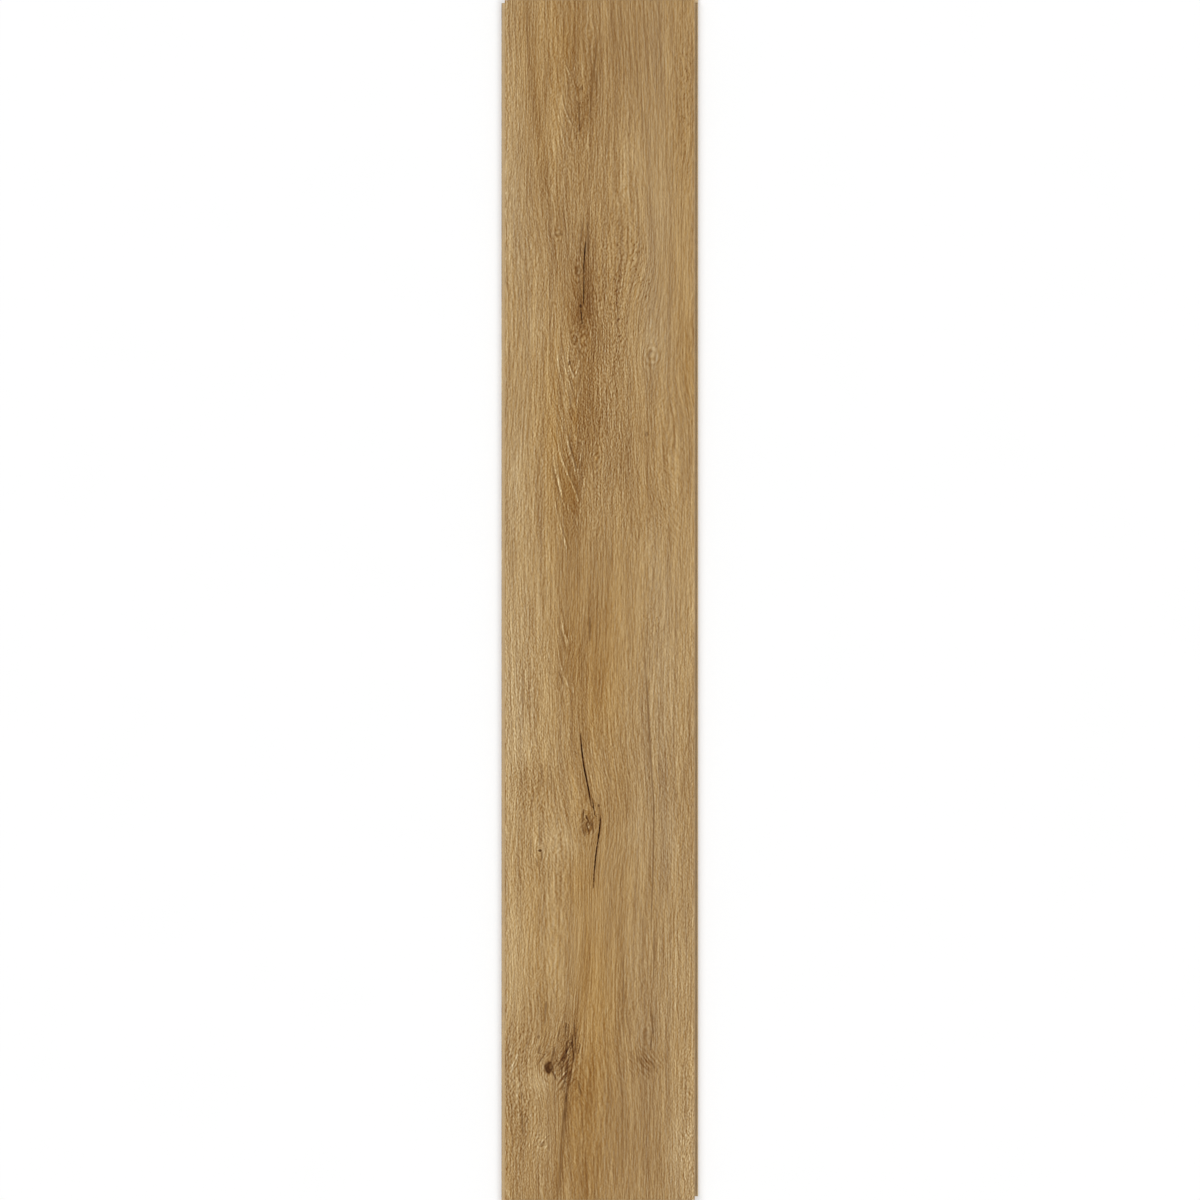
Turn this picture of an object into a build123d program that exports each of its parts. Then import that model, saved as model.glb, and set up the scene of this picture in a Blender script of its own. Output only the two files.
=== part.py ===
"""Laminate floor plank with a click profile milled into all four edges.

The plank lies face up. X runs across it, Y along it and Z up, in millimetres.
The origin is the middle of the face's outline, on the plane of the underside.
The tongues are on the -X side and the -Y end, and the grooves are opposite them.
"""

import math
import os

from build123d import *

# The face that shows once the floor is laid, and the board's thickness
face_length = 1200.0
face_width = 190.0
thickness = 8.0

# The arris taken off the face's four edges
arris = 0.3

# The groove, measured from its joint plane, where the faces of two planks meet
upper_lip = 2.6
groove_height = 2.9
mouth_chamfer = 0.4
root_radius = 0.8

# The lower lip, which reaches under the next plank and ends in a locking ridge
lip_reach = 3.4
ridge_foot = 1.2
ridge_height = 0.8
lock_angle = 50.0
ridge_radius = 0.25
lip_chamfer = 0.4

# The tongue, which the next plank's groove and lip take with a clearance all round
tongue_reach = 3.2
nose_lift = 0.8
nose_run = 1.9
nose_radius = 0.7
heel_radius = 0.3
clearance = 0.1

# The ends are milled in a second pass, set a hair lower than the sides
end_drop = 0.05

# Sizes that the groove and the tongue share
groove_depth = tongue_reach + clearance
lock_run = ridge_height / math.tan(math.radians(lock_angle))
side_roof = thickness - upper_lip
end_roof = side_roof - end_drop


def groove_corners(joint, roof):
    """The groove edge's corners as (across, height, radius), from the underside up to the face.

    The joint plane stands at joint, the lip reaches past it, and the groove's roof is at roof.
    """
    floor = roof - groove_height
    ridge_top = floor + ridge_height
    ridge = joint + ridge_foot
    tip = joint + lip_reach
    root = joint - groove_depth
    return [
        (tip - lip_chamfer, 0, 0),
        (tip, lip_chamfer, 0),
        (tip, ridge_top, ridge_radius),
        (ridge + lock_run, ridge_top, ridge_radius),
        (ridge, floor, ridge_radius),
        (root, floor, root_radius),
        (root, roof, root_radius),
        (joint - mouth_chamfer, roof, 0),
        (joint, roof + mouth_chamfer, 0),
        (joint, thickness - arris, 0),
        (joint - arris, thickness, 0),
    ]


def tongue_corners(joint, roof):
    """The tongue edge's corners as (across, height, radius), from the face down to the underside.

    The tongue reaches past the joint plane, and the recess behind it takes the next plank's lip.
    """
    floor = roof - groove_height
    tip = joint - tongue_reach
    top = roof - clearance
    heel = floor + clearance
    lock = joint + ridge_foot - clearance
    recess_roof = floor + ridge_height + clearance
    recess_wall = joint + lip_reach + clearance
    return [
        (joint + arris, thickness, 0),
        (joint, thickness - arris, 0),
        (joint, top, 0),
        (tip, top, nose_radius),
        (tip, heel + nose_lift, nose_radius),
        (tip + nose_run, heel, heel_radius),
        (lock, heel, heel_radius),
        (lock + lock_run, recess_roof, 0),
        (recess_wall, recess_roof, ridge_radius),
        (recess_wall, 0, 0),
    ]


def milled_section(plane, span, roof):
    """A sketch of the plank cut across, on plane, with its two joint planes span apart."""
    corners = tongue_corners(-span / 2, roof) + groove_corners(span / 2, roof)
    with BuildSketch(plane) as section:
        with BuildLine():
            FilletPolyline(
                *[(across, height) for across, height, _ in corners],
                radius=[radius for _, _, radius in corners],
                close=True,
            )
        make_face()
    return section.sketch


# Each profile runs right through, so the corners are what the two passes of the cutters leave.
# Where a tongue would cross a lip they leave a loose chip, and only the board is kept.
with BuildPart() as plank:
    extrude(milled_section(Plane.XZ, face_width, side_roof), amount=face_length, both=True)
    extrude(
        milled_section(Plane.YZ, face_length, end_roof),
        amount=face_width,
        both=True,
        mode=Mode.INTERSECT,
    )
    add(plank.solids().sort_by(SortBy.VOLUME)[-1], mode=Mode.REPLACE)

plank.part.label = "plank"
os.makedirs("parts", exist_ok=True)
export_step(plank.part, "parts/plank.step")
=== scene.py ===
"""Laminate floor plank with a knotty oak decor, a fibreboard core and a backing sheet.

Lengths are in millimetres until they reach Blender, which works in metres.
A place on the face is (across, down): its distance from the left side and from the far end.
A step of tone or warmth moves a colour by about one of a screen's 255 levels.
"""

import math

import bmesh
import bpy
import numpy as np
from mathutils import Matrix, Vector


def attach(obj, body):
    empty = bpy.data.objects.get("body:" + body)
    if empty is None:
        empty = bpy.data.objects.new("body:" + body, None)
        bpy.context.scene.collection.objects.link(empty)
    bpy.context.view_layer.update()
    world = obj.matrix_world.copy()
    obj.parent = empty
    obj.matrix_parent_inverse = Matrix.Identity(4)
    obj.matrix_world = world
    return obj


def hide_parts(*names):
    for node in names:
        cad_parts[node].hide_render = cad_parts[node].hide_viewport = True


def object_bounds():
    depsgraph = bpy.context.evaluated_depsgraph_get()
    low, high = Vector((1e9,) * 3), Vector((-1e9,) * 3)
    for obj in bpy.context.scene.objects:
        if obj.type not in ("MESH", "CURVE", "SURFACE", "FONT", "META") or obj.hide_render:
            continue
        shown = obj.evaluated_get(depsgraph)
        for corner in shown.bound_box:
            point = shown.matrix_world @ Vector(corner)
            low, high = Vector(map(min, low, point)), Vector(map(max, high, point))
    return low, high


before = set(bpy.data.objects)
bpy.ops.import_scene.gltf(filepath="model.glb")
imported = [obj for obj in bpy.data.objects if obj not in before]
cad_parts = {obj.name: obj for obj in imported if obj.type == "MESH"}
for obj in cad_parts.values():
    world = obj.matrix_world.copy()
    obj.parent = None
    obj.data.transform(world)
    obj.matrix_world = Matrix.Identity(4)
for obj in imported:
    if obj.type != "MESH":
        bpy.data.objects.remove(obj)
cad_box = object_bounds()

MM = 0.001

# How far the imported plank's tongues and lips reach past its face, and the arris round the face
TONGUE_REACH = 3.2
LIP_REACH = 3.4
ARRIS = 0.3

# The face's width and length and the plank's thickness, to a micrometre
BOX_SIZE = [(high - low) / MM for low, high in zip(*cad_box)]
FACE_WIDTH = round(BOX_SIZE[0] - TONGUE_REACH - LIP_REACH, 3)
FACE_LENGTH = round(BOX_SIZE[1] - TONGUE_REACH - LIP_REACH, 3)
THICKNESS = round(BOX_SIZE[2], 3)

# The face's mesh: fine columns where the figure and the cracks are, coarse ones beside them
FINE_FROM = 40.0
FINE_TO = 106.0
FINE_COLUMN = 0.5
COARSE_COLUMN = 1.2
ROW = 3.05

# Vertices closer than this are one, and faces that turn by less, in degrees, are one
WELD = 0.001
FLAT_TURN = 0.2

# A face is part of the underside if it looks down and lies this low
FACING_DOWN = -0.9
UNDERSIDE = 0.01

# Random wander: (how far, the step across, the step along)
FIBRE_WANDER = (1.2, 30, 140)
RING_WANDER = (1.6, 9, 26)
RING_TREMBLE = (0.8, 4, 11)
STAIN_WANDER = (2.0, 5, 40)
LONG_GRAIN = (1.0, 2.2, 46)
SHORT_GRAIN = (0.7, 1.1, 17)

# Where the fibres lean: (across, down, half width, half length, lean to the right on the way down)
LEANS = [
    (5, 165, 18, 35, -0.13),
    (40, 215, 14, 35, 0.1),
    (97, 130, 16, 60, -0.05),
    (136, 285, 14, 28, -0.28),
    (185, 165, 10, 25, -0.1),
    (125, 35, 20, 40, 0.06),
    (12, 390, 16, 60, -0.08),
    (180, 400, 14, 25, 0.2),
    (155, 490, 12, 30, 0.13),
    (125, 345, 25, 25, -0.05),
    (85, 770, 45, 40, 0.14),
    (66, 815, 10, 30, 0.12),
    (5, 805, 12, 20, -0.1),
    (105, 852, 30, 25, -0.1),
    (28, 865, 10, 15, 0.1),
    (72, 970, 16, 40, -0.12),
    (58, 1042, 14, 22, -0.3),
    (32, 1052, 10, 14, -0.25),
    (3, 1030, 9, 25, -0.22),
    (37, 1085, 9, 10, 0.15),
    (115, 1055, 14, 35, 0.1),
    (34, 1145, 9, 18, -0.2),
]

# How many half lengths beyond it a lean takes to die away
LEAN_REACH = 3.5

# Where the fibres part round a knot: (across, down, half width, half length, push)
PARTINGS = [
    (44, 1068, 10, 16, 3.4),
    (82, 822, 9, 15, 3),
    (77, 335, 10, 15, 3),
    (53, 233, 6, 9, 2),
    (37, 1144, 5, 8, 1.7),
    (142, 1035, 6, 10, 2),
    (147, 355, 7, 9, 2.4),
    (85, 35, 5, 7, 1.7),
    (92, 457, 5, 7, 1.7),
    (35.5, 850, 4, 6, 1.3),
    (73, 270, 5, 9, 1.7),
]

# The tips of the growth rings, which point down the plank: (across, down)
RING_TIPS = [
    (74, -60),
    (74, 10),
    (73, 62),
    (73, 98),
    (73, 130),
    (72, 176),
    (71, 232),
    (72, 300),
    (70, 350),
    (70, 376),
    (71, 405),
    (71, 436),
    (73, 470),
    (74, 500),
    (73, 520),
    (67, 562),
    (64, 600),
    (63, 640),
    (63, 685),
    (63, 730),
    (66, 790),
    (70, 850),
    (72, 920),
    (70, 1000),
    (66, 1090),
    (60, 1200),
    (60, 1400),
]

# How a ring's limbs climb from its tip: their slope, the tip's radius, their bend and the right one's gain
RING_SLOPE = 4.2
RING_TIP_RADIUS = 2.0
RING_CURVE = 8.0
RING_STEEPER_RIGHT = 3.0

# How far ahead the line of the tips is read, and how far apart the rings past the last tip are
RING_LEAD = 30.0
LAST_RINGS_APART = 60.0

# Where the rings show strongly: (across, down, half width, half length, strength)
FIGURES = [
    (61, 105, 13, 42, 0.9),
    (61, 440, 13, 75, 1.0),
    (60, 650, 9, 50, 0.8),
    (74, 300, 12, 40, 0.5),
    (72, 790, 14, 40, 0.5),
    (62, 1040, 14, 40, 0.4),
]
FIGURE_ELSEWHERE = 0.15

# Where short marks cross the fibres, down to the left or, if negative, to the right: columns as in FIGURES
CURLS = [
    (6, 100, 8, 80, 0.7),
    (8, 520, 12, 40, 0.9),
    (22, 790, 20, 28, 0.8),
    (12, 1055, 14, 26, 1.3),
    (18, 1115, 14, 30, 1.0),
    (36, 1150, 8, 10, 0.8),
    (60, 1071, 7, 17, 4.2),
    (74, 1090, 7, 18, -0.8),
    (157, 405, 10, 14, 1.0),
    (165, 505, 14, 38, -0.9),
    (150, 350, 9, 14, 0.8),
    (116, 305, 8, 45, 0.8),
    (135, 255, 9, 38, 0.8),
    (183, 100, 7, 70, 0.6),
    (45, 838, 14, 14, -0.7),
    (82, 823, 7, 12, 2.0),
    (75, 330, 10, 16, 0.8),
    (150, 622, 9, 10, 0.7),
    (142, 1063, 13, 9, -2.4),
    (118, 1070, 12, 20, -0.5),
    (165, 790, 18, 70, -0.5),
    (160, 870, 20, 30, -0.5),
    (12, 930, 14, 30, 0.6),
]

# Stains and pale patches: (across, down, half width, half length, lean, tone, warmth)
STAINS = [
    # First quarter
    (4, 60, 9, 90, 0, 9, -1),
    (6, 215, 11, 60, 0, 22, -1),
    (27, 262, 13, 35, 0, 8, 0),
    (27, 75, 5, 62, 0.1, -20, 1),
    (36, 150, 4, 40, 0.05, -9, 1),
    (36, 20, 3.5, 28, 0, 13, 3),
    (48, 40, 8, 60, 0, -6, 3),
    (48, 150, 4, 30, 0.05, 10, 3),
    (71, 25, 6, 40, 0, -20, 2),
    (61, 50, 5, 20, 0, -9, 3),
    (90, 65, 5, 35, -0.06, -22, 0),
    (84, 118, 5, 26, 0, -18, -1),
    (74, 115, 5, 28, 0, -18, 0),
    (112, 60, 5, 38, 0, -16, -1),
    (90, 90, 30, 110, 0, -6, -1),
    (142, 50, 8, 30, 0, -6, -2),
    (145, 160, 20, 42, 0, 9, -1),
    (124, 165, 5, 30, 0, 7, 0),
    (162, 212, 8, 26, 0, 10, -1),
    (176, 150, 5, 40, 0, -10, 1),
    (187, 60, 3, 45, 0, -12, -1),
    (104, 170, 7, 45, 0, -5, 0),
    (74, 180, 4, 14, 0, -12, 0),
    (56, 245, 4, 35, 0, -14, -1),
    (83, 262, 6, 28, 0, -34, -2),
    (79, 300, 12, 24, 0, -26, -1),
    (74, 313, 7, 13, 0, -26, 0),
    (108, 275, 5, 45, 0, -14, -1),
    (155, 45, 8, 60, 0, 0, -3),
    (147, 255, 9, 40, 0, 4, -4),
    (7, 190, 8, 55, 0, 0, -2),
    # Second quarter
    (27, 327, 7, 18, 0, 20, 0),
    (12, 415, 17, 85, 0, 13, 0),
    (12, 475, 6, 32, 0, 16, -2),
    (10, 548, 17, 60, 0, 14, -1),
    (53, 318, 5, 22, 0, 7, 1),
    (82, 345, 10, 40, 0, -26, -1),
    (83, 400, 10, 40, 0, -24, -1),
    (88, 432, 7, 22, 0, -18, -1),
    (72, 472, 8, 30, 0, -24, -1),
    (66, 515, 6, 22, 0, -20, 0),
    (71, 562, 6, 40, 0, -12, 0),
    (72, 440, 20, 90, 0, -8, 0),
    (50, 470, 8, 60, 0, -8, 2),
    (46, 410, 8, 55, 0, 0, 3),
    (120, 455, 6, 32, 0, -18, -2),
    (142, 432, 4, 15, 0, -14, -1),
    (112, 405, 9, 45, 0, -8, -1),
    (138, 500, 6, 25, 0, -8, 0),
    (146, 338, 7, 32, 0, 12, -4),
    (124, 345, 6, 22, 0, 7, 0),
    (161, 335, 6, 32, 0, 6, -3),
    (183, 345, 6, 30, 0, -9, 2),
    (175, 485, 6, 50, 0, 7, 0),
    (150, 540, 8, 28, 0, 12, -1),
    (158, 588, 14, 28, 0, 14, -2),
    (188, 570, 5, 40, 0, 11, 1),
    (184, 385, 6, 30, 0, 0, 3),
    (71, 418, 4, 12, 0, -10, 5),
    (67, 495, 5, 14, 0.3, -12, 4),
    (61, 470, 5, 24, 0.3, -6, 3),
    # Third quarter
    (9, 628, 7, 35, 0, 16, 0),
    (11, 700, 11, 42, 0, 26, -2),
    (28, 625, 16, 40, 0, 9, 0),
    (41, 700, 4, 32, 0, 16, 1),
    (20, 748, 15, 20, 0, 18, 0),
    (51, 757, 6, 14, 0, 12, 1),
    (65, 640, 9, 36, 0, -27, 1),
    (72, 685, 6, 36, 0, -17, 0),
    (90, 655, 7, 45, 0, -18, 2),
    (105, 650, 7, 50, 0, -8, 2),
    (90, 712, 11, 32, 0, -9, 3),
    (162, 652, 8, 36, 0, 14, -1),
    (148, 650, 6, 32, 0, 8, -1),
    (186, 645, 7, 60, 0, 9, 0),
    (160, 710, 26, 60, 0, 6, -1),
    (34, 782, 11, 14, 0, -14, -1),
    (5, 780, 6, 40, 0, 16, 0),
    (83, 822, 6, 13, 0, -22, 3),
    (79, 772, 3.5, 26, 0.16, -24, -1),
    (95, 825, 5, 15, 0, -18, 0),
    (112, 797, 7, 26, 0, -15, 0),
    (121, 800, 4, 28, 0, -8, 0),
    (91, 785, 3, 9, 0, 10, 3),
    (48, 844, 11, 15, 0, 24, 0),
    (66, 840, 5, 13, 0, 18, 1),
    (26, 825, 20, 28, 0, 9, 0),
    (5, 850, 6, 50, 0, 12, 0),
    (70, 790, 5, 22, 0, 8, 4),
    (132, 830, 6, 24, 0, 13, -1),
    (165, 848, 8, 36, 0, 14, -2),
    (152, 770, 16, 80, 0, 2, -4),
    (35, 872, 4, 13, 0, -16, 0),
    (48, 888, 5, 16, 0, 10, 0),
    (75, 882, 12, 18, 0, -9, 4),
    (90, 872, 4, 20, 0, -12, 0),
    (118, 888, 7, 28, 0, -12, 0),
    (100, 660, 16, 70, 0, 0, 2),
    # Last quarter
    (8, 930, 8, 34, 0, 26, 0),
    (8, 990, 9, 30, 0, 24, 0),
    (25, 945, 11, 60, 0, 8, 2),
    (9, 1082, 10, 14, 0, 16, 0),
    (32, 1083, 6, 9, 0, 28, 0),
    (43, 1083, 6, 6, 0, 18, 0),
    (39, 1005, 3, 26, 0, -20, 0),
    (50, 930, 5, 40, 0, 14, 2),
    (49, 990, 4, 30, 0, 10, 1),
    (82, 940, 3.5, 30, 0, -12, 1),
    (78, 988, 5, 34, -0.15, -20, 0),
    (97, 1000, 8, 55, 0, -9, 2),
    (114, 990, 4, 48, 0, -16, 0),
    (60, 1064, 10, 22, 0, -34, -3),
    (48, 1061, 6, 10, 0, -16, -2),
    (72, 1030, 7, 25, -0.2, -20, 0),
    (87, 1078, 8, 30, 0, -20, 2),
    (74, 1092, 9, 24, 0, -16, 2),
    (59, 1132, 4.5, 34, -0.12, -24, 0),
    (54, 1185, 4.5, 25, -0.1, -26, 0),
    (86, 1145, 9, 42, 0, -26, 2),
    (80, 1195, 9, 28, 0, -24, 1),
    (70, 1138, 5, 40, 0, -6, 4),
    (110, 1080, 8, 60, 0, -12, 0),
    (112, 1165, 9, 40, 0, -14, -1),
    (145, 1150, 8, 40, 0, -15, -2),
    (128, 1165, 7, 32, 0, -10, -1),
    (142, 1063, 11, 8, 0, -24, -1),
    (137, 1036, 8, 10, 0, 12, 0),
    (132, 1060, 5, 12, 0, -12, -1),
    (150, 1025, 8, 24, 0, -10, -2),
    (184, 950, 8, 60, 0, 15, -1),
    (172, 1155, 6, 45, 0, 24, -2),
    (187, 1150, 5, 48, 0, 24, -2),
    (163, 990, 10, 45, 0, 8, -1),
    (131, 950, 6, 30, 0, 8, -1),
    (85, 950, 12, 70, 0, 0, 3),
    (95, 1015, 11, 45, 0, 0, 3),
    (150, 1050, 24, 100, 0, 0, -2),
    (11, 1125, 8, 32, 0, -8, 0),
    (32, 1145, 5, 22, 0, 7, 0),
]

# Where the pores are open and dark: (across, down, half width, half length, strength)
PORE_PATCHES = [
    (113, 300, 5, 32, 1.5),
    (115, 340, 5, 22, 1.3),
    (132, 260, 6, 22, 1.5),
    (142, 286, 4, 14, 1.4),
    (22, 787, 18, 22, 0.8),
    (180, 100, 7, 70, 0.8),
    (76, 110, 8, 30, 1.0),
    (160, 500, 12, 40, 0.6),
    (150, 620, 10, 20, 0.7),
    (64, 1050, 10, 30, 1.0),
]

# Where the fine grain is livelier, or calmer if negative: (across, down, half width, half length, strength)
LIVELY = [
    (160, 90, 45, 160, -0.22),
    (175, 400, 22, 200, -0.2),
    (110, 640, 30, 60, -0.2),
    (120, 880, 35, 60, -0.2),
    (115, 1130, 45, 90, -0.22),
    (10, 400, 16, 130, -0.12),
    (75, 575, 60, 35, -0.18),
    (90, 20, 50, 40, -0.1),
    (70, 950, 50, 45, -0.16),
    (185, 1150, 8, 60, 0.35),
    (105, 360, 15, 90, 0.25),
    (75, 400, 14, 80, 0.15),
    (12, 720, 18, 130, 0.14),
    (12, 1110, 18, 60, 0.2),
]

# Open cracks: the places of each and its half width, then their shade, in hundredths, and their depth
CRACKS = [
    ([(81, 240), (80, 252), (79.2, 264), (79.2, 276)], 0.55),
    ([(79.2, 272), (79.2, 288), (78.8, 306)], 0.5),
    ([(75.8, 308), (76.6, 314), (77, 319), (77.6, 326)], 0.45),
    ([(75.5, 731), (76.8, 748), (78.8, 764), (81, 775), (83.6, 788), (86.8, 808)], 0.8),
    ([(88, 799), (89, 808), (90.4, 818)], 0.4),
    ([(95.8, 814), (95, 828), (93.4, 840), (90.9, 857), (89.5, 873), (88.4, 891)], 0.7),
]
CRACK_SHADE = -84
CRACK_DEPTH = 0.45

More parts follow.
